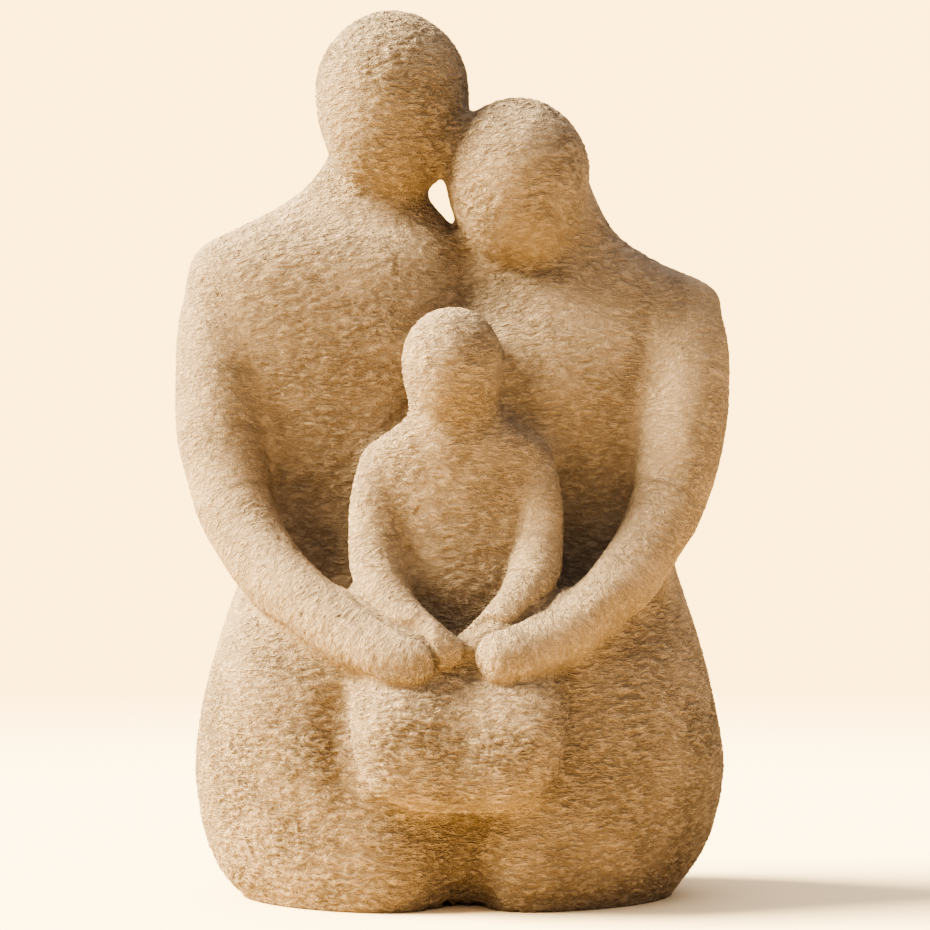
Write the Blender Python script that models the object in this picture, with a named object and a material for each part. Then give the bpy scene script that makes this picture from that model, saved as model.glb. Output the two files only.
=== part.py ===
"""A family group in cast sandstone: two adults kneel side by side with their heads together, and a child
sits on their laps inside the ring of their arms. The group is one solid, cut off flat underneath.

Metres, +Z up. The group faces -Y and stands on Z = 0, with the origin under the middle of its box. Left
and right are as seen from the front: the father is on the left, towards -X, and the mother on the right."""

import math

import bmesh
import bpy
from mathutils import Vector

# Driving dimensions. The group is a free form, so its forms keep their places as shares of its height.
HEIGHT = 0.400          # from the ground to the crown of the taller head
REFERENCE = 400.0       # height in millimetres of the group that the tables below describe
MM = HEIGHT / REFERENCE

# How finely the form is worked, in millimetres of the reference group.
VOXEL = 1.6             # grain of the joined forms
BODY_FILLET = 6.0       # radius where the two adults' bodies run into each other
CHILD_FILLET = 3.0      # radius between the child's own forms
LAP_FILLET = 1.4        # radius where the child meets the adults
ARM_FILLET = 1.2        # radius where the arms and hands meet what they touch
HEAD_FILLET = 0.7       # radius where the two adults' heads meet the necks and each other
RELAX = 5               # rounds of smoothing that take the grain off each surface
POLISH = 3              # rounds of smoothing on the blended surface
TRIANGLES = 9400        # budget of the finished solid
RING_POINTS = 48        # points round each section of a body
RING_STEP = 3.0         # height between two sections
HEAD_POINTS = 48        # points round a head
HEAD_RINGS = 32         # rings from a head's crown to its chin
LIMB_STEPS = 8          # steps of a limb between two of its points, and round a quarter of it
SHARP_EDGE = 60         # degrees between two facets that show as an edge, as round the underside

# The place across of each body's rearmost points, in millimetres of the reference group.
FATHER_BACK = -46
MOTHER_BACK = 43
CHILD_BACK = -2
LEFT_LEG_BACK = -20
RIGHT_LEG_BACK = 20

STONE = (0.62, 0.46, 0.29)
STONE_ROUGHNESS = 0.95

# Sections of the bodies: height, left edge, right edge, front, back and the place across of the
# foremost point, in millimetres of the reference group, and how square the section is (2 is round).
FATHER_BODY = [
    (-12, -88, 6, -66, 55, -31, 1.75),
    (0, -97, 7, -73, 60, -31, 1.75),
    (6, -105, 8, -76, 62, -31, 1.75),
    (24, -114.2, 10, -79, 66, -31, 1.95),
    (42, -118, 12, -80, 67, -33, 2.1),
    (60, -119.5, 13, -78, 68, -46, 2.3),
    (82, -117, 13, -73, 65, -71, 2.3),
    (102, -112.5, 12, -67, 61, -80, 2.3),
    (118, -108, 11, -58, 58, -82, 2.3),
    (132, -104, 10, -42, 55, -74, 2.3),
    (150, -98, 9, -23, 51, -54, 2.3),
    (178, -96, 9, -16, 48, -48, 2.4),
    (205, -100, 8, -19, 47, -50, 2.7),
    (247, -116, 8, -25, 45, -54, 3),
    (272, -124, 7, -25, 39, -54, 3),
    (280, -125, 6, -24.5, 35, -52, 2.8),
    (293, -119, 4, -20, 30, -46, 2.5),
    (303, -99.5, -3, -11.5, 28, -42, 2.3),
    (315, -78, -14, -6, 28, -40, 2.2),
    (327, -66, -22, 0, 30, -40, 2.2),
    (334, -62, -26, 2, 30, -40, 2.2),
    (342, -56, -29, 6, 27, -40, 2.2),
    (348, -50, -33, 10, 22, -40, 2.2),
]
MOTHER_BODY = [
    (-12, 2, 90, -66, 55, 26, 1.75),
    (0, 1, 95, -70, 62, 26, 1.75),
    (6, 0, 100.5, -74, 63, 26, 1.75),
    (24, -4, 112, -78, 66, 22, 1.95),
    (42, -7, 117, -79, 67, 22, 2.1),
    (60, -9, 119.5, -77, 68, 26, 2.3),
    (82, -9, 116, -72, 65, 38, 2.3),
    (108, -9, 110.5, -60, 60, 46, 2.3),
    (125, -8, 105.5, -46, 56, 46, 2.3),
    (150, -6, 98, -24, 51, 46, 2.3),
    (178, -6, 95, -22, 48, 44, 2.3),
    (205, -7, 99, -29, 47, 42, 2.3),
    (225, -8, 106, -33, 46, 40, 2.2),
    (247, -8, 114, -31, 43, 40, 2.2),
    (258, -6, 118.5, -27, 41, 41, 2.2),
    (272, 2, 120, -21.5, 36, 43, 2.2),
    (276.5, 6, 113, -19.5, 34, 43, 2.2),
    (285.5, 12, 92.5, -15, 30, 43, 2.2),
    (297, 18, 73.5, -11, 27, 43, 2.2),
    (316, 26, 62, -8, 26, 43, 2.2),
    (332, 31, 56, -3, 20, 42, 2.2),
    (339, 34, 49, 1, 14, 41, 2.2),
]
CHILD_BODY = [
    (90, -40, 40, -70, -10, 0, 2.3),
    (110, -38, 38, -58, -10, 0, 2.3),
    (124, -36, 34, -52, -12, -1, 2.6),
    (132, -35, 32, -54, -13, -2, 2.8),
    (146, -34, 31, -55, 0, -2, 3),
    (165, -35, 32, -55, 6, -2, 3),
    (196, -41, 39, -57, 0, -2, 2.5),
    (203, -40, 38, -56.5, -20, -2, 2.3),
    (213, -26, 23, -52, -24, -3, 2.2),
    (219, -18, 13, -50, -26, -3, 2.2),
]
CHILD_LEFT_LEG = [
    (43, -27, 18, -82, -30, -8, 2.8),
    (45.5, -34, 20, -89, -30, -10, 2.9),
    (50, -40, 21, -94, -30, -13, 3.0),
    (56, -43.5, 20, -96.5, -30, -16, 3.0),
    (76, -47.8, 10, -98, -30, -23, 2.9),
    (90, -47, 8, -95, -30, -24, 2.8),
    (98, -45.5, 7, -89, -30, -23, 2.6),
    (106, -42, 6, -78, -30, -22, 2.4),
]
CHILD_RIGHT_LEG = [
    (43, -17, 27, -82, -30, 9, 2.8),
    (45.5, -19, 34, -89, -30, 12, 2.9),
    (50, -18, 39.5, -94, -30, 15, 3.0),
    (56, -15, 43.5, -96.5, -30, 18, 3.0),
    (76, -8, 47.4, -97.5, -30, 25, 2.8),
    (98, -5, 45.5, -89, -30, 25, 2.6),
    (106, -4, 42, -78, -30, 24, 2.4),
]

# Limbs: a row of (x, y, z, radius), in millimetres of the reference group. A flank fills the
# hollow behind an arm, so that the arm grows out of the body and the lap behind it.
FATHER_NECK = [(-32, 9, 350, 18), (-32.6, 8, 318, 16.5), (-34, 9, 298, 19)]
MOTHER_NECK = [(31, 2, 322, 18), (38, 5, 300, 16), (42, 6, 280, 20)]
FATHER_FLANK = [
    (-104, -3, 196, 15),
    (-101, -5, 182, 15),
    (-94, -12, 165, 14),
    (-86, -23, 149, 13),
    (-76, -32, 141, 12.5),
    (-62, -43, 128, 12),
    (-47, -45, 119, 12),
    (-33, -42, 117, 13),
]
MOTHER_FLANK = [
    (99, -7, 198, 15),
    (96, -10, 183, 15),
    (90, -16, 166, 14),
    (81, -26, 149, 13),
    (73, -33, 142, 12.5),
    (59, -43, 128, 12),
    (46, -45, 119, 12),
    (32, -42, 117, 13),
]
FATHER_ARM = [
    (-105, 3, 272, 19.5),
    (-108, 0, 255, 20.6),
    (-108.3, -5, 232, 20.8),
    (-108, -13, 206, 19.8),
    (-104, -19, 189, 18.6),
    (-101.3, -24, 177, 17.8),
    (-93.4, -34, 161.5, 16.6),
    (-81.4, -46, 145.5, 16),
    (-63.8, -59, 130.5, 14.9),
    (-50, -68, 121, 14),
    (-38, -75, 114, 13.1),
    (-28, -79.5, 109.8, 12.4),
    (-20.6, -81.5, 109, 11),
]
MOTHER_ARM = [
    (99.5, -1, 262, 18.5),
    (101, -6, 250, 20.3),
    (101.2, -13, 232, 20.6),
    (100, -19, 212, 20),
    (96.5, -25, 192, 18.6),
    (93.3, -30, 179.4, 17.2),
    (84.8, -40, 161.3, 15.9),
    (72.8, -51, 144, 15.2),
    (58.5, -61, 130, 14.4),
    (43, -68, 119.9, 13.8),
    (27, -76, 112.6, 13.4),
    (18.8, -80.5, 110.9, 11.6),
]
CHILD_LEFT_ARM = [
    (-36, -39, 196, 9),
    (-38.6, -45, 180, 10.4),
    (-38, -51, 159, 11.6),
    (-34.5, -60, 141, 12.4),
    (-25.4, -70, 128, 10.6),
    (-15.2, -77, 121, 9.2),
    (-6.6, -79.5, 113.6, 8.2),
]
CHILD_RIGHT_ARM = [
    (34, -38, 195, 9),
    (36, -43, 180, 10),
    (34.9, -48, 159, 11.3),
    (31.5, -58, 142, 11.8),
    (20.6, -69, 129, 9.8),
    (11, -73, 121.5, 8),
    (4, -72, 116, 6.5),
]
CHILD_NECK = [(-3.5, -44, 232, 16.5), (-3.2, -42, 216, 16), (-3, -40, 204, 19)]
CHILD_LEFT_THIGH = [(-19, -30, 112, 18), (-22, -55, 102, 19), (-23, -70, 90, 20)]
CHILD_RIGHT_THIGH = [(21, -30, 112, 18), (24, -55, 102, 19), (25, -70, 90, 20)]

# Heads: centre, half width, half depth, half height above and below the widest place, and how
# square the crown is (2 is round), in millimetres of the reference group.
FATHER_HEAD = ((-30.8, 1, 363.6), 35.2, 37, 36.6, 50.5, 1.92)
MOTHER_HEAD = ((25.9, -10, 326), 32.8, 35, 33.6, 43.5, 1.92)
CHILD_HEAD = ((-3.4, -46, 239), 23.4, 24.5, 25.6, 31, 2.0)


def clear_scene():
    for obj in list(bpy.data.objects):
        bpy.data.objects.remove(obj)


def stone():
    material = bpy.data.materials.new("sandstone")
    material.use_nodes = True
    shader = material.node_tree.nodes["Principled BSDF"]
    shader.inputs["Base Color"].default_value = (*STONE, 1)
    shader.inputs["Roughness"].default_value = STONE_ROUGHNESS
    shader.inputs["Metallic"].default_value = 0.0
    return material


def placed(name, data):
    obj = bpy.data.objects.new(name, data)
    bpy.context.scene.collection.objects.link(obj)
    return obj


def evaluated_mesh(obj):
    """The object's mesh with its modifiers applied and its own place worked in; the object is removed."""
    bpy.context.view_layer.update()
    graph = bpy.context.evaluated_depsgraph_get()
    mesh = bpy.data.meshes.new_from_object(obj.evaluated_get(graph))
    mesh.transform(obj.matrix_world)
    bpy.data.objects.remove(obj)
    return mesh


def smooth_value(stations, column, z):
    """A column of the stations at height z, along a curve that keeps each station's value."""
    last = len(stations) - 2
    i = max(k for k in range(last + 1) if k == 0 or stations[k][0] <= z)
    rows = [stations[min(max(k, 0), last + 1)] for k in (i - 1, i, i + 1, i + 2)]
    (z0, z1, z2, z3), (v0, v1, v2, v3) = ([row[c] for row in rows] for c in (0, column))
    span = z2 - z1
    t = (z - z1) / span
    slope1 = (v2 - v0) / (z2 - z0) * span
    slope2 = (v3 - v1) / (z3 - z1) * span
    return (
        (2 * t**3 - 3 * t**2 + 1) * v1
        + (t**3 - 2 * t**2 + t) * slope1
        + (3 * t**2 - 2 * t**3) * v2
        + (t**3 - t**2) * slope2
    )


def body(name, stations, back_crest):
    """A closed form lofted through rounded sections. back_crest is the place across of its rearmost points."""
    low, high = stations[0][0], stations[-1][0]
    steps = math.ceil((high - low) / RING_STEP)
    shape = bmesh.new()
    rings = []
    for k in range(steps + 1):
        z = low + (high - low) * k / steps
        left, right, front, back, crest, squareness = (smooth_value(stations, c, z) for c in range(1, 7))
        ring = []
        for p in range(RING_POINTS):
            turn = 2 * math.pi * p / RING_POINTS
            c, s = math.cos(turn), math.sin(turn)
            across = math.copysign(abs(c) ** (2 / squareness), c)
            along = math.copysign(abs(s) ** (2 / squareness), s)
            middle = crest if along < 0 else back_crest
            x = middle + (right - middle if across > 0 else middle - left) * across
            y = (front + back) / 2 + (back - front) / 2 * along
            ring.append(shape.verts.new(Vector((x, y, z)) * MM))
        rings.append(ring)
    for lower, upper in zip(rings, rings[1:]):
        for p in range(RING_POINTS):
            q = (p + 1) % RING_POINTS
            shape.faces.new((lower[p], lower[q], upper[q], upper[p]))
    shape.faces.new(reversed(rings[0]))
    shape.faces.new(rings[-1])
    mesh = bpy.data.meshes.new(name)
    shape.to_mesh(mesh)
    shape.free()
    return mesh


def limb(name, points):
    """A tube of changing radius with round ends, along a smooth curve through the points."""
    curve = bpy.data.curves.new(name, "CURVE")
    curve.dimensions = "3D"
    curve.bevel_depth = MM
    curve.bevel_resolution = LIMB_STEPS
    curve.resolution_u = LIMB_STEPS
    curve.use_fill_caps = True
    spline = curve.splines.new("BEZIER")
    spline.radius_interpolation = "CARDINAL"
    spline.bezier_points.add(len(points) - 1)
    for knot, (x, y, z, radius) in zip(spline.bezier_points, points):
        knot.co = Vector((x, y, z)) * MM
        knot.handle_left_type = knot.handle_right_type = "AUTO"
        knot.radius = radius
    tube = evaluated_mesh(placed(name, curve))
    ends = [egg(name, point[:3], *[point[3]] * 4, 2) for point in (points[0], points[-1])]
    return joined(name, [tube, *ends])


def egg(name, centre, half_width, half_depth, half_above, half_below, crown):
    """A head: a ball whose upper and lower halves have heights of their own, and a narrower crown."""
    shape = bmesh.new()
    bmesh.ops.create_uvsphere(shape, u_segments=HEAD_POINTS, v_segments=HEAD_RINGS, radius=1)
    for vert in shape.verts:
        x, y, z = vert.co
        round_width = math.hypot(x, y)
        if z > 0 and round_width > 1e-6:
            slimmer = (1 - z**crown) ** (1 / crown) / round_width
            x, y = x * slimmer, y * slimmer
        height = z * (half_above if z > 0 else half_below)
        vert.co = (Vector(centre) + Vector((x * half_width, y * half_depth, height))) * MM
    mesh = bpy.data.meshes.new(name)
    shape.to_mesh(mesh)
    shape.free()
    return mesh


def joined(name, meshes):
    shape = bmesh.new()
    for mesh in meshes:
        shape.from_mesh(mesh)
    whole = bpy.data.meshes.new(name)
    shape.to_mesh(whole)
    shape.free()
    return whole


def blended(name, meshes, fillet):
    """The union of the meshes, its inner corners filled to a radius by growing it and shrinking it back."""
    obj = placed(name, joined(name, meshes))
    for stage, push in (("grow", fillet), ("shrink", -fillet)):
        remesh = obj.modifiers.new(f"{stage} remesh", "REMESH")
        remesh.mode = "VOXEL"
        remesh.voxel_size = VOXEL * MM
        relax = obj.modifiers.new(f"{stage} relax", "SMOOTH")
        relax.factor = 0.5
        relax.iterations = RELAX
        displace = obj.modifiers.new(stage, "DISPLACE")
        displace.direction = "NORMAL"
        displace.mid_level = 0
        displace.strength = push * MM
    finish = obj.modifiers.new("finish remesh", "REMESH")
    finish.mode = "VOXEL"
    finish.voxel_size = VOXEL * MM
    polish = obj.modifiers.new("polish", "SMOOTH")
    polish.factor = 0.5
    polish.iterations = POLISH
    return evaluated_mesh(obj)


def group():
    adults = blended(
        "adults",
        [
            body("father_body", FATHER_BODY, FATHER_BACK),
            limb("father_neck", FATHER_NECK),
            body("mother_body", MOTHER_BODY, MOTHER_BACK),
            limb("mother_neck", MOTHER_NECK),
            limb("father_shoulder", FATHER_ARM[:2]),
            limb("mother_shoulder", MOTHER_ARM[:2]),
            limb("father_flank", FATHER_FLANK),
            limb("mother_flank", MOTHER_FLANK),
        ],
        BODY_FILLET,
    )
    child = blended(
        "child",
        [
            body("child_body", CHILD_BODY, CHILD_BACK),
            body("child_left_leg", CHILD_LEFT_LEG, LEFT_LEG_BACK),
            body("child_right_leg", CHILD_RIGHT_LEG, RIGHT_LEG_BACK),
            limb("child_left_thigh", CHILD_LEFT_THIGH),
            limb("child_right_thigh", CHILD_RIGHT_THIGH),
            limb("child_left_shoulder", CHILD_LEFT_ARM[:3]),
            limb("child_right_shoulder", CHILD_RIGHT_ARM[:3]),
            limb("child_neck", CHILD_NECK),
            egg("child_head", *CHILD_HEAD),
        ],
        CHILD_FILLET,
    )
    seated = blended("seated", [adults, child], LAP_FILLET)
    embraced = blended(
        "embraced",
        [
            seated,
            limb("father_arm", FATHER_ARM),
            limb("mother_arm", MOTHER_ARM),
            limb("child_left_arm", CHILD_LEFT_ARM),
            limb("child_right_arm", CHILD_RIGHT_ARM),
        ],
        ARM_FILLET,
    )
    heads = [egg("father_head", *FATHER_HEAD), egg("mother_head", *MOTHER_HEAD)]
    return blended("group", [embraced, *heads], HEAD_FILLET)


def largest_shell(mesh):
    """The mesh without the small closed pockets that are left inside where forms nearly touch."""
    shape = bmesh.new()
    shape.from_mesh(mesh)
    unseen = set(shape.verts)
    shells = []
    while unseen:
        shell = []
        front = [unseen.pop()]
        while front:
            vert = front.pop()
            shell.append(vert)
            for edge in vert.link_edges:
                other = edge.other_vert(vert)
                if other in unseen:
                    unseen.remove(other)
                    front.append(other)
        shells.append(shell)
    shells.sort(key=len)
    for shell in shells[:-1]:
        bmesh.ops.delete(shape, geom=shell, context="VERTS")
    shape.to_mesh(mesh)
    shape.free()
    return mesh


def thinned(mesh):
    """The mesh with no more triangles than the budget."""
    mesh.calc_loop_triangles()
    obj = placed("thinned", mesh)
    decimate = obj.modifiers.new("decimate", "DECIMATE")
    decimate.ratio = min(1, TRIANGLES / len(mesh.loop_triangles))
    return evaluated_mesh(obj)


def standing(mesh):
    """The mesh cut off flat at the ground, with the middle of its box over the origin."""
    shape = bmesh.new()
    shape.from_mesh(mesh)
    everything = shape.verts[:] + shape.edges[:] + shape.faces[:]
    cut = bmesh.ops.bisect_plane(
        shape, geom=everything, plane_co=(0, 0, 0), plane_no=(0, 0, 1), clear_inner=True
    )
    rim = [item for item in cut["geom_cut"] if isinstance(item, bmesh.types.BMEdge)]
    bmesh.ops.holes_fill(shape, edges=rim, sides=0)
    bmesh.ops.recalc_face_normals(shape, faces=shape.faces)
    across = [vert.co.x for vert in shape.verts]
    along = [vert.co.y for vert in shape.verts]
    middle = Vector(((min(across) + max(across)) / 2, (min(along) + max(along)) / 2, 0))
    bmesh.ops.translate(shape, verts=shape.verts, vec=-middle)
    shape.to_mesh(mesh)
    shape.free()
    return mesh


def main():
    clear_scene()
    mesh = standing(thinned(largest_shell(group())))
    mesh.name = "family_group"
    mesh.shade_smooth()
    mesh.set_sharp_from_angle(angle=math.radians(SHARP_EDGE))
    mesh.materials.append(stone())
    placed("family_group", mesh)


main()
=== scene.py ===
"""The look of a family group in cast sandstone, worked all over with short strokes of a hand tool.

Metres, +Z up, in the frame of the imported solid. The group faces -Y; left and right are as seen from there."""

import math

import bpy
import numpy as np
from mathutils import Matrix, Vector


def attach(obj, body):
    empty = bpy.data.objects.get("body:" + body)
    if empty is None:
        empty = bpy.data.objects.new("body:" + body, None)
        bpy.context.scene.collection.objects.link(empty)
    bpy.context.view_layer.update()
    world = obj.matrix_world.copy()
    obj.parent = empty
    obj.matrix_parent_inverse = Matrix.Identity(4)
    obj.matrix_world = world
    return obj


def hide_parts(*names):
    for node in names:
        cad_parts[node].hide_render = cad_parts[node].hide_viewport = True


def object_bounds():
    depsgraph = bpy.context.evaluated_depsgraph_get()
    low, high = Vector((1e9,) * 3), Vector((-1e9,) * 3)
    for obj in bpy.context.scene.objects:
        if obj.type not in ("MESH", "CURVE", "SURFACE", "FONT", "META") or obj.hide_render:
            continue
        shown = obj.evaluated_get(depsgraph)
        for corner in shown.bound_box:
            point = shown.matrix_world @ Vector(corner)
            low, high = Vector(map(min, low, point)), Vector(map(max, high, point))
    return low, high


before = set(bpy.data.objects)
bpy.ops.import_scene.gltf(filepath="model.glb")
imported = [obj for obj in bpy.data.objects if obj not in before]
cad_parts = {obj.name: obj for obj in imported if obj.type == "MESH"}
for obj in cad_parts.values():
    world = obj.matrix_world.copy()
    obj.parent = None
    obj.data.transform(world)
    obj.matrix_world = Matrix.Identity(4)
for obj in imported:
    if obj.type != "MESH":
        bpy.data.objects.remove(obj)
cad_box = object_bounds()

# One unit of the reference group, which is 400 units tall. It is a millimetre at the group's real size.
REFERENCE_HEIGHT = 400.0
HEIGHT = cad_box[1].z - cad_box[0].z
UNIT = HEIGHT / REFERENCE_HEIGHT

# The skin, in units.
GRAIN = 0.7             # edge of the finest facets while the skin is worked
SOFTEN = 9              # rounds of smoothing that melt the solid's facets together
TRIANGLES = 196000      # of the finished skin
FOOT = 1.6              # the tool leaves the lowest edge alone up to here

# The tool's strokes, in units.
PITCH = 2.4             # from one stroke to the next
LENGTH = 6.4            # of a stroke
ARM_LENGTH = 4.6        # of a stroke on an arm
DEPTH = 0.6             # of a stroke in the skin
BUMP_DEPTH = 1.6        # of the finer part of it, in the material
CHIP_SCALE = 1.5        # how many chips fit in a stroke
CHIP_SHARE = 0.8        # of the chips in the relief
NET_SCALE = 2.2         # how many meshes of the net fit in a stroke
NET_SHARE = 0.55        # of the net in the relief
NET_SHARPNESS = 6.0     # how narrow the net's grooves are
WAVE_SIZE = 8           # from one bend in the strokes to the next
WAVE = 3.0              # how far they bend
GRIT_SIZE = 0.6
GRIT_SHARE = 0.5

# How hard the tool was driven, as shares, and the heights in units between which that changes.
FORCE_SIZE = 22         # of a patch that was worked harder or softer, in units
FORCES = (0.7, 1.1)     # in the softest and the hardest patches
ARM_FORCE = 0.75
LAP_FORCE = 1.5
LAP_HEIGHTS = (70, 130)
CROWN_FORCE = 1.35
CROWN_HEIGHTS = (325, 375)

# The stone's colours, linear, with painted shade in the groove colour, and the sizes of its patches and dark
# specks, in units.
# The groove colour is partly the stone's own darker tone and partly painted shade that stands in for the shadow
# the strokes cast into their grooves; the ridge colour is the stone's own paler tone.
GROOVE_COLOUR_AND_SHADE = (0.24, 0.162, 0.094, 1)
RIDGE_COLOUR = (0.465, 0.332, 0.207, 1)
PATCH_COLOUR = (0.39, 0.268, 0.158, 1)
PATCH_SHARE = 0.25
PATCH_SIZE = 45
SPECK_COLOUR = (0.13, 0.065, 0.03, 1)
SPECK_SHARE = 0.35
SPECK_SIZE = 0.8

# The arms, as (x, y, z, radius) in units: the strokes run across them.
FATHER_ARM = [
    (-101, 18, 272, 19.5),
    (-105, 10, 232, 20.8),
    (-104, 2, 206, 19.8),
    (-98, -9, 177, 17.8),
    (-78, -31, 145, 16),
    (-46, -53, 121, 14),
    (-24, -65, 110, 12.4),
    (-17, -67, 109, 11),
]
MOTHER_ARM = [
    (103, 14, 262, 18.5),
    (105, 2, 232, 20.6),
    (104, -4, 212, 20),
    (97, -15, 179, 17.2),
    (76, -36, 144, 15.2),
    (47, -53, 120, 13.8),
    (31, -61, 113, 13.4),
    (22, -66, 111, 11.6),
]
CHILD_LEFT_ARM = [
    (-32, -24, 196, 9),
    (-35, -30, 180, 10.4),
    (-34, -36, 159, 11.6),
    (-31, -45, 141, 12.4),
    (-22, -55, 128, 10.6),
    (-3, -65, 114, 8.2),
]
CHILD_RIGHT_ARM = [
    (38, -23, 195, 9),
    (40, -28, 180, 10),
    (39, -33, 159, 11.3),
    (35, -43, 142, 11.8),
    (24, -54, 129, 9.8),
    (8, -57, 116, 6.5),
]
ARMS = (FATHER_ARM, MOTHER_ARM, CHILD_LEFT_ARM, CHILD_RIGHT_ARM)
FAR = 9.0                   # from an arm, in its radii: further than any arm is looked for
CREASE = 2.4                # how deep the tool goes in beside the hands and forearms, in units
CREASE_HEIGHTS = (150, 195) # the crease fades out between these, in units

# The child's knees, seen from the front, in units: the tool goes in round them too.
KNEES_MIDDLE = (3.4, 89)
KNEES_HALF = (48, 45.5)
KNEES_SQUARENESS = 2.7
KNEES_FRONT = -45
KNEES_FADE = 10         # behind their front, over which the crease fades out
KNEES_TOP = (88, 104)   # the heights over which it fades out under the hands
KNEES_CREASE = 4.0

# The shoulders, in units: the strokes there slope away from each neck.
SEAM = 3                            # across, between the two adults
NECKS = (-30, 44)                   # across, the father's and the mother's
SHOULDER_SLOPE = 0.22
SHOULDER_HEIGHTS = (205, 285)       # over which the slope sets in
NECK_HEIGHTS = (300, 325)           # over which it ends

# The light, as linear colours, and where the sun stands, in degrees: 0 is from the front, -90 from the left.
SUN_AZIMUTH = -90
SUN_ELEVATION = 38
SUN_WIDTH = 34
SUN_STRENGTH = 20.5
SUN_COLOUR = (1.0, 0.96, 0.76)
SKY = (1.2, 1.22, 1.34, 1)
HORIZON = (0.62, 0.62, 0.66, 1)
WALL = (3.34, 2.24, 0.97, 1)
FLOOR = (0.86, 0.66, 0.40, 1)
FLOOR_HALF_SIDE = 4.0       # metres
FLOOR_FADE = (0.5, 1.5)     # how far out the floor fades into the backdrop, in metres

PHOTO_SIDE = 930                        # pixels
FOCAL_LENGTH = 3307                     # in pixels of the photo
CAMERA_PLACE = (5.9, -1485.1, 193.7)    # in units


class Graph:
    """Adds nodes to a material's or a modifier's tree. An input is a number, a tuple or a node's output."""

    def __init__(self, tree):
        self.tree = tree

    def node(self, kind, inputs=None, out=0, **settings):
        made = self.tree.nodes.new(kind)
        for key, value in settings.items():
            setattr(made, key, value)
        for key, value in (inputs or {}).items():
            if isinstance(value, bpy.types.NodeSocket):
                self.tree.links.new(value, made.inputs[key])
            else:
                made.inputs[key].default_value = value
        return made.outputs[out]

    def math(self, operation, a, b=0.0, c=0.0):
        return self.node("ShaderNodeMath", {0: a, 1: b, 2: c}, operation=operation)

    def vector(self, operation, a, b=(0, 0, 0)):
        return self.node("ShaderNodeVectorMath", {0: a, 1: b}, operation=operation)

    def split(self, vector):
        made = self.tree.nodes.new("ShaderNodeSeparateXYZ")
        self.tree.links.new(vector, made.inputs[0])
        return made.outputs

    def ramp(self, value, low, high, to_low=0.0, to_high=1.0, kind="SMOOTHSTEP"):
        inputs = {"Value": value, "From Min": low, "From Max": high, "To Min": to_low, "To Max": to_high}
        return self.node("ShaderNodeMapRange", inputs, interpolation_type=kind)

    def noise(self, place, scale, detail=2.0, roughness=0.5, out="Fac"):
        inputs = {"Vector": place, "Scale": scale, "Detail": detail, "Roughness": roughness}
        return self.node("ShaderNodeTexNoise", inputs, out)

    def drawn_noise(self, place, across, scale, detail, roughness):
        """Noise that is drawn out along every way but the one in which across grows."""
        inputs = {"Vector": place, "W": across, "Scale": scale, "Detail": detail, "Roughness": roughness}
        return self.node("ShaderNodeTexNoise", inputs, noise_dimensions="4D")

    def blend(self, share, a, b):
        return self.node("ShaderNodeMix", {0: share, 2: a, 3: b}, data_type="FLOAT")

    def tint(self, share, a, b):
        return self.node("ShaderNodeMix", {0: share, 6: a, 7: b}, 2, data_type="RGBA")


def strokes(g, place, across, length):
    """Crumbly chips with a finer net of grooves between them, about -0.6 to 0.6."""
    place = g.vector("MULTIPLY", place, (1 / length,) * 3)
    across = g.math("DIVIDE", across, PITCH)
    chips = g.drawn_noise(place, across, CHIP_SCALE, 4.0, 0.62)
    chips = g.math("SUBTRACT", g.ramp(chips, 0.38, 0.62), 0.5)
    net = g.drawn_noise(place, across, NET_SCALE, 2.0, 0.6)
    net = g.math("ABSOLUTE", g.math("SUBTRACT", net, 0.5))
    net = g.math("MINIMUM", g.math("MULTIPLY", net, NET_SHARPNESS), 1.0)
    net = g.math("SUBTRACT", net, 0.5)
    return g.math("MULTIPLY_ADD", chips, CHIP_SHARE, g.math("MULTIPLY", net, NET_SHARE))


def relief(g, place, course):
    """Height of the worked stone, about -0.8 to 0.8.

    course holds the distances across the strokes on a body and on an arm, and how much of an arm it is."""
    on_body, on_arm, arm = g.split(course)
    bend = g.split(g.noise(place, 1 / WAVE_SIZE, 1.0, 0.5, "Color"))
    wave = g.math("MULTIPLY", g.math("SUBTRACT", bend[2], 0.5), WAVE)
    body = strokes(g, place, g.math("ADD", on_body, wave), LENGTH)
    limb = strokes(g, place, g.math("ADD", on_arm, wave), ARM_LENGTH)
    force = g.ramp(g.noise(place, 1 / FORCE_SIZE, 1.0), 0.38, 0.62, *FORCES)
    force = g.math("MULTIPLY", force, g.ramp(arm, 0.0, 1.0, 1.0, ARM_FORCE))
    height = g.split(place)[2]
    force = g.math("MULTIPLY", force, g.ramp(height, *LAP_HEIGHTS, LAP_FORCE, 1.0))
    force = g.math("MULTIPLY", force, g.ramp(height, *CROWN_HEIGHTS, 1.0, CROWN_FORCE))
    grit = g.math("SUBTRACT", g.noise(place, 1 / GRIT_SIZE, 2.0, 0.65), 0.5)
    return g.math("MULTIPLY_ADD", g.blend(arm, body, limb), force, g.math("MULTIPLY", grit, GRIT_SHARE))


def evaluated(obj):
    bpy.context.view_layer.update()
    graph = bpy.context.evaluated_depsgraph_get()
    mesh = bpy.data.meshes.new_from_object(obj.evaluated_get(graph))
    bpy.data.objects.remove(obj)
    return mesh


def placed(name, data):
    obj = bpy.data.objects.new(name, data)
    bpy.context.scene.collection.objects.link(obj)
    return obj


def points(mesh):
    values = np.zeros(len(mesh.vertices) * 3, np.float32)
    mesh.vertices.foreach_get("co", values)
    return values.reshape(-1, 3)


def step_up(value, low, high):
    t = np.clip((value - low) / (high - low), 0, 1)
    return t * t * (3 - 2 * t)


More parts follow.
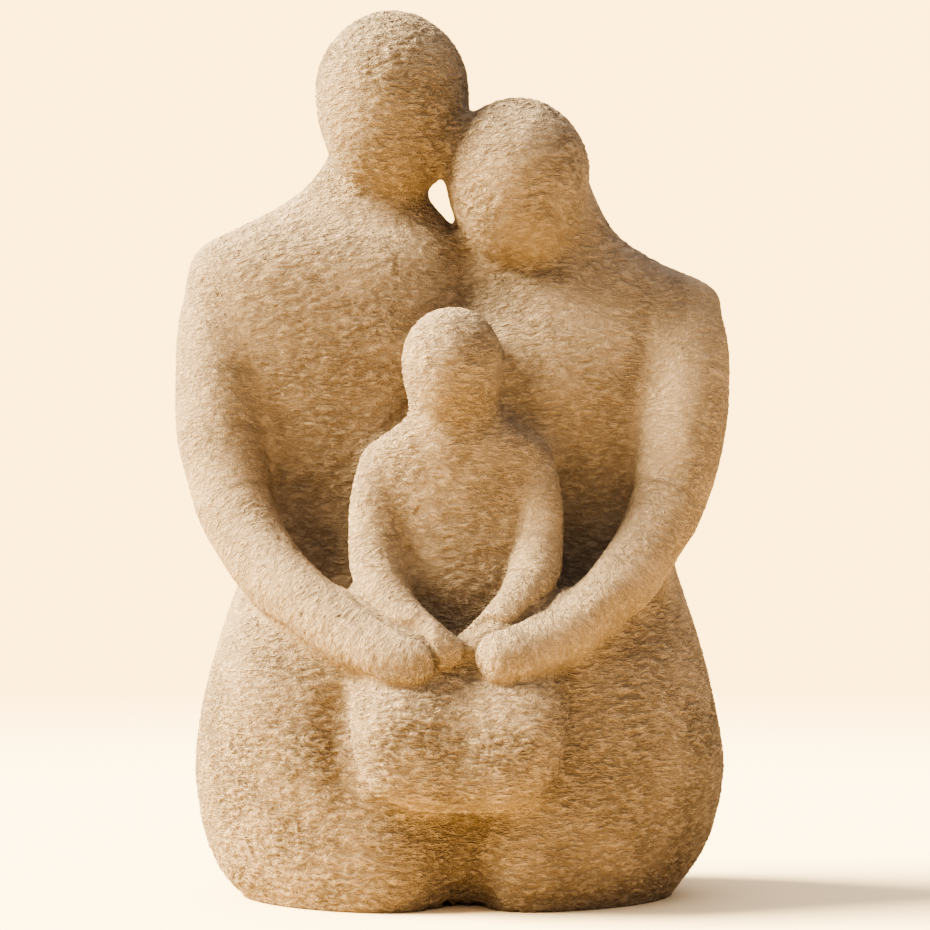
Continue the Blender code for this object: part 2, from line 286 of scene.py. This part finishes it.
def smooth_skin():
    """The solid's form with its facets melted together."""
    form = placed("smooth form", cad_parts["family_group"].data.copy())
    weld = form.modifiers.new("weld", "WELD")
    weld.merge_threshold = 0.00001
    subdivide = form.modifiers.new("subdivide", "SUBSURF")
    subdivide.levels = subdivide.render_levels = 2
    remesh = form.modifiers.new("remesh", "REMESH")
    remesh.mode = "VOXEL"
    remesh.voxel_size = GRAIN * UNIT
    soften = form.modifiers.new("soften", "SMOOTH")
    soften.factor = 0.5
    soften.iterations = SOFTEN
    return evaluated(form)


def along_arm(place, route):
    """For each point, the distance along an arm, and that from its middle as a share of its radius."""
    route = np.array(route, float)
    closest = np.full(len(place), FAR)
    course = np.zeros(len(place))
    run = 0.0
    for start, end in zip(route, route[1:]):
        step = end[:3] - start[:3]
        length = np.linalg.norm(step)
        t = np.clip((place - start[:3]) @ step / length**2, 0, 1)
        away = np.linalg.norm(place - start[:3] - t[:, None] * step, axis=1)
        away = away / (start[3] + t * (end[3] - start[3]))
        along = run + (place - start[:3]) @ step / length
        course = np.where(away < closest, along, course)
        closest = np.minimum(away, closest)
        run += length
    return course, closest


def arm_course(place):
    """For each point, the distance along the nearest arm, and how much of that arm and of a crease it is.

    Nothing is counted as arm halfway between two arms, where the distance jumps from one to the other."""
    nearest = np.full(len(place), FAR)
    second = np.full(len(place), FAR)
    course = np.zeros(len(place))
    for route in ARMS:
        own_course, away = along_arm(place, route)
        second = np.where(away < nearest, nearest, np.minimum(second, away))
        course = np.where(away < nearest, own_course, course)
        nearest = np.minimum(nearest, away)
    arm = (1 - step_up(nearest, 1.03, 1.3)) * step_up(second - nearest, 0.03, 0.25)
    beside = step_up(nearest, 1.0, 1.1) * (1 - step_up(nearest, 1.12, 1.45))
    between = step_up(nearest, 0.9, 1.0) * (1 - step_up(second, 1.04, 1.2))
    low = 1 - step_up(place[:, 2], *CREASE_HEIGHTS)
    return course, arm, np.maximum(beside, between) * low


def knee_crease(place):
    """How much of a crease each point is, beside and below the child's knees."""
    x, y, z = place.T
    across = np.abs(x - KNEES_MIDDLE[0]) / KNEES_HALF[0]
    upward = np.abs(z - KNEES_MIDDLE[1]) / KNEES_HALF[1]
    away = (across**KNEES_SQUARENESS + upward**KNEES_SQUARENESS) ** (1 / KNEES_SQUARENESS)
    beside = step_up(away, 0.96, 1.05) * (1 - step_up(away, 1.05, 1.4))
    front = 1 - step_up(y, KNEES_FRONT - KNEES_FADE, KNEES_FRONT)
    return beside * front * (1 - step_up(z, *KNEES_TOP))


def body_course(place):
    """Height, bent so that the strokes near the shoulders follow their slope."""
    x, y, z = place.T
    neck = np.where(x < SEAM, *NECKS)
    slope = SHOULDER_SLOPE * step_up(z, *SHOULDER_HEIGHTS) * (1 - step_up(z, *NECK_HEIGHTS))
    return z + slope * np.abs(x - neck)


def worked_skin():
    """The skin with the tool's strokes cut in it, and the values that its material reads."""
    mesh = smooth_skin()
    place = points(mesh) / UNIT
    low = place[:, 2] < FOOT * 0.5
    place[:, 2] = np.where(low, 0.0, place[:, 2])
    along, arm, crease = arm_course(place)
    normal = np.zeros(len(place) * 3, np.float32)
    mesh.vertices.foreach_get("normal", normal)
    depth = np.maximum(CREASE * crease, KNEES_CREASE * knee_crease(place))
    place = place - normal.reshape(-1, 3) * depth[:, None]
    mesh.vertices.foreach_set("co", (place * UNIT).ravel())
    course = np.column_stack([body_course(place), along, arm])
    for name, values in (("place", place), ("course", course)):
        kept = mesh.attributes.new(name, "FLOAT_VECTOR", "POINT")
        kept.data.foreach_set("vector", values.astype(np.float32).ravel())
    tree = bpy.data.node_groups.new("tool strokes", "GeometryNodeTree")
    tree.interface.new_socket("Geometry", in_out="INPUT", socket_type="NodeSocketGeometry")
    tree.interface.new_socket("Geometry", in_out="OUTPUT", socket_type="NodeSocketGeometry")
    g = Graph(tree)
    read = [
        g.node("GeometryNodeInputNamedAttribute", {"Name": name}, data_type="FLOAT_VECTOR")
        for name in ("place", "course")
    ]
    height = g.math("MULTIPLY", relief(g, *read), DEPTH * UNIT)
    above = g.ramp(g.split(read[0])[2], FOOT, FOOT * 3)
    height = g.math("MULTIPLY", height, above)
    normal = g.node("GeometryNodeInputNormal")
    offset = g.node("ShaderNodeVectorMath", {0: normal, "Scale": height}, operation="SCALE")
    source = g.node("NodeGroupInput")
    moved = g.node("GeometryNodeSetPosition", {"Geometry": source, "Offset": offset})
    tree.links.new(moved, tree.nodes.new("NodeGroupOutput").inputs[0])
    skin = placed("worked skin", mesh)
    cut = skin.modifiers.new("strokes", "NODES")
    cut.node_group = tree
    mesh = evaluated(skin)
    mesh.calc_loop_triangles()
    skin = placed("thinned skin", mesh)
    thin = skin.modifiers.new("thin", "DECIMATE")
    thin.ratio = min(1, TRIANGLES / len(mesh.loop_triangles))
    mesh = evaluated(skin)
    mesh.shade_smooth()
    return mesh


def sandstone():
    material = bpy.data.materials.new("sandstone")
    material.use_nodes = True
    tree = material.node_tree
    g = Graph(tree)
    shader = tree.nodes["Principled BSDF"]
    place = g.node("ShaderNodeAttribute", {}, "Vector", attribute_name="place")
    course = g.node("ShaderNodeAttribute", {}, "Vector", attribute_name="course")
    height = relief(g, place, course)
    # Painted shade in part: the lower places of the relief take the darker groove colour, which stands in for
    # the shade in the grooves as well as the stone's own darker tone there.
    top = g.ramp(height, -0.7, 0.5, kind="LINEAR")
    colour = g.tint(top, GROOVE_COLOUR_AND_SHADE, RIDGE_COLOUR)
    patch = g.ramp(g.noise(place, 1 / PATCH_SIZE, 3.0, 0.55), 0.35, 0.65)
    colour = g.tint(g.math("MULTIPLY", patch, PATCH_SHARE), colour, PATCH_COLOUR)
    speck = g.ramp(g.noise(place, 1 / SPECK_SIZE, 2.0, 0.7), 0.62, 0.72)
    colour = g.tint(g.math("MULTIPLY", speck, SPECK_SHARE), colour, SPECK_COLOUR)
    tree.links.new(colour, shader.inputs["Base Color"])
    shader.inputs["Roughness"].default_value = 0.9
    shader.inputs["Specular IOR Level"].default_value = 0.3
    bump = g.node("ShaderNodeBump", {"Strength": 1.0, "Distance": UNIT * BUMP_DEPTH, "Height": height})
    tree.links.new(bump, shader.inputs["Normal"])
    return material


def group():
    stone = placed("family_group_stone", worked_skin())
    stone.data.materials.clear()
    stone.data.materials.append(sandstone())
    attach(stone, "root")
    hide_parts("family_group")


def backdrop():
    """Soft light all round, and the brighter wall that stands behind in every view."""
    world = bpy.data.worlds.new("backdrop")
    world.use_nodes = True
    g = Graph(world.node_tree)
    soft = world.node_tree.nodes["Background"]
    up = g.split(g.node("ShaderNodeTexCoord", {}, "Generated"))[2]
    world.node_tree.links.new(g.tint(g.ramp(up, 0.0, 1.0, kind="LINEAR"), HORIZON, SKY), soft.inputs["Color"])
    soft.inputs["Strength"].default_value = 1.0
    wall = g.node("ShaderNodeBackground", {"Color": WALL, "Strength": 1.0})
    seen = g.node("ShaderNodeLightPath", {}, "Is Camera Ray")
    both = g.node("ShaderNodeMixShader", {0: seen, 1: soft.outputs[0], 2: wall})
    world.node_tree.links.new(both, world.node_tree.nodes["World Output"].inputs["Surface"])
    bpy.context.scene.world = world


def floor():
    """A pale floor that fades into the backdrop further out."""
    side = FLOOR_HALF_SIDE
    corners = [(-side, -side, 0), (side, -side, 0), (side, side, 0), (-side, side, 0)]
    mesh = bpy.data.meshes.new("floor")
    mesh.from_pydata(corners, [], [(0, 1, 2, 3)])
    plane = placed("floor", mesh)
    material = bpy.data.materials.new("floor")
    material.use_nodes = True
    tree = material.node_tree
    g = Graph(tree)
    shader = tree.nodes["Principled BSDF"]
    shader.inputs["Base Color"].default_value = FLOOR
    shader.inputs["Roughness"].default_value = 0.8
    shader.inputs["Specular IOR Level"].default_value = 0.1
    place = g.node("ShaderNodeNewGeometry", {}, "Position")
    far = g.ramp(g.node("ShaderNodeVectorMath", {0: place}, "Value", operation="LENGTH"), *FLOOR_FADE)
    clear = g.node("ShaderNodeBsdfTransparent")
    mixed = g.node("ShaderNodeMixShader", {0: far, 1: shader.outputs[0], 2: clear})
    tree.links.new(mixed, tree.nodes["Material Output"].inputs["Surface"])
    mesh.materials.append(material)


def sun():
    light = bpy.data.lights.new("sun", "SUN")
    light.energy = SUN_STRENGTH
    light.color = SUN_COLOUR
    light.angle = math.radians(SUN_WIDTH)
    lamp = placed("sun", light)
    azimuth, elevation = math.radians(SUN_AZIMUTH), math.radians(SUN_ELEVATION)
    towards = Vector((math.sin(azimuth), -math.cos(azimuth), math.tan(elevation)))
    lamp.rotation_mode = "QUATERNION"
    lamp.rotation_quaternion = towards.to_track_quat("Z", "Y")


def camera():
    lens = bpy.data.cameras.new("camera")
    lens.sensor_width = 36
    lens.lens = FOCAL_LENGTH / PHOTO_SIDE * lens.sensor_width
    viewer = placed("camera", lens)
    viewer.location = Vector(CAMERA_PLACE) * UNIT
    viewer.rotation_euler = (math.radians(90), 0, 0)
    bpy.context.scene.camera = viewer


camera()
group()
backdrop()
floor()
sun()
bpy.context.scene.view_settings.view_transform = "AgX"
bpy.context.scene.view_settings.look = "AgX - High Contrast"
